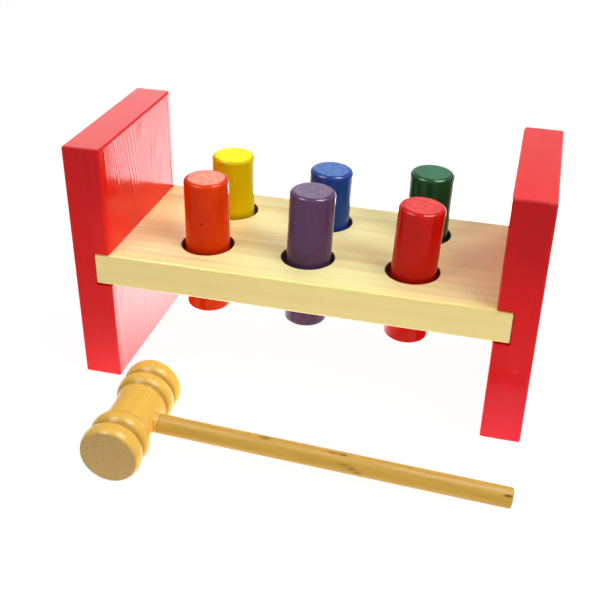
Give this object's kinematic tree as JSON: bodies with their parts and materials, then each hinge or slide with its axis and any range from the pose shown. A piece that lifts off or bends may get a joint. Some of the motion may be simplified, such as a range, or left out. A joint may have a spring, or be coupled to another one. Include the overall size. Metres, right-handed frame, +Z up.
{
  "type": "peg pounding bench",
  "caption": "Toy pounding bench: a board let into two end panels holds coloured round pegs in rubber-ringed holes; a turned mallet lies in front.",
  "frame": {"origin": "on the floor, under the middle of the box round the bench and the mallet in front of it", "axes": "+X along the board from the left panel to the right one, +Y from the mallet to the back of the bench, +Z up"},
  "size_m": [0.251, 0.1872, 0.14],
  "materials": {
    "red_lacquer": "gloss red lacquer over wood",
    "pine": "bare pale pine, sanded",
    "ring_rubber": "matt",
    "screw_steel": "zinc plated",
    "orange_paint": "satin orange paint over wood",
    "purple_paint": "satin purple paint over wood",
    "red_paint": "satin red paint over wood",
    "yellow_paint": "satin yellow paint over wood",
    "blue_paint": "satin blue paint over wood",
    "green_paint": "satin green paint over wood",
    "mallet_wood": "clear gloss lacquer",
    "handle_wood": "clear satin lacquer"
  },
  "bodies": {
    "bench": {"left_end_panel": "red_lacquer", "right_end_panel": "red_lacquer", "bench_board": "pine", "grip_ring_orange": "ring_rubber", "grip_ring_purple": "ring_rubber", "grip_ring_red": "ring_rubber", "grip_ring_yellow": "ring_rubber", "grip_ring_blue": "ring_rubber", "grip_ring_green": "ring_rubber", "left_front_screw": "screw_steel", "left_back_screw": "screw_steel", "right_front_screw": "screw_steel", "right_back_screw": "screw_steel"},
    "orange_peg": {"peg_orange": "orange_paint"},
    "purple_peg": {"peg_purple": "purple_paint"},
    "red_peg": {"peg_red": "red_paint"},
    "yellow_peg": {"peg_yellow": "yellow_paint"},
    "blue_peg": {"peg_blue": "blue_paint"},
    "green_peg": {"peg_green": "green_paint"},
    "mallet": {"mallet_head": "mallet_wood", "mallet_handle": "handle_wood"}
  },
  "joints": [
    {"name": "orange_peg_slide", "type": "slide", "parent": "bench", "child": "orange_peg", "axis": [0.0087, 0, 1], "range_m": [-0.0395, 0.019]},
    {"name": "purple_peg_slide", "type": "slide", "parent": "bench", "child": "purple_peg", "axis": [0.0436, 0, 0.999], "range_m": [-0.0395, 0.019]},
    {"name": "red_peg_slide", "type": "slide", "parent": "bench", "child": "red_peg", "axis": [0.0523, 0, 0.9986], "range_m": [-0.0385, 0.02]},
    {"name": "yellow_peg_slide", "type": "slide", "parent": "bench", "child": "yellow_peg", "axis": [0.0175, 0, 0.9998], "range_m": [-0.035, 0.0235]},
    {"name": "blue_peg_slide", "type": "slide", "parent": "bench", "child": "blue_peg", "axis": [0.0436, 0, 0.999], "range_m": [-0.033, 0.0255]},
    {"name": "green_peg_slide", "type": "slide", "parent": "bench", "child": "green_peg", "axis": [0.0262, 0, 0.9997], "range_m": [-0.038, 0.0205]},
    {"name": "mallet_lift", "type": "slide", "parent": "bench", "child": "mallet", "axis": [0, 0, 1], "range_m": [0, 0.16]}
  ]
}
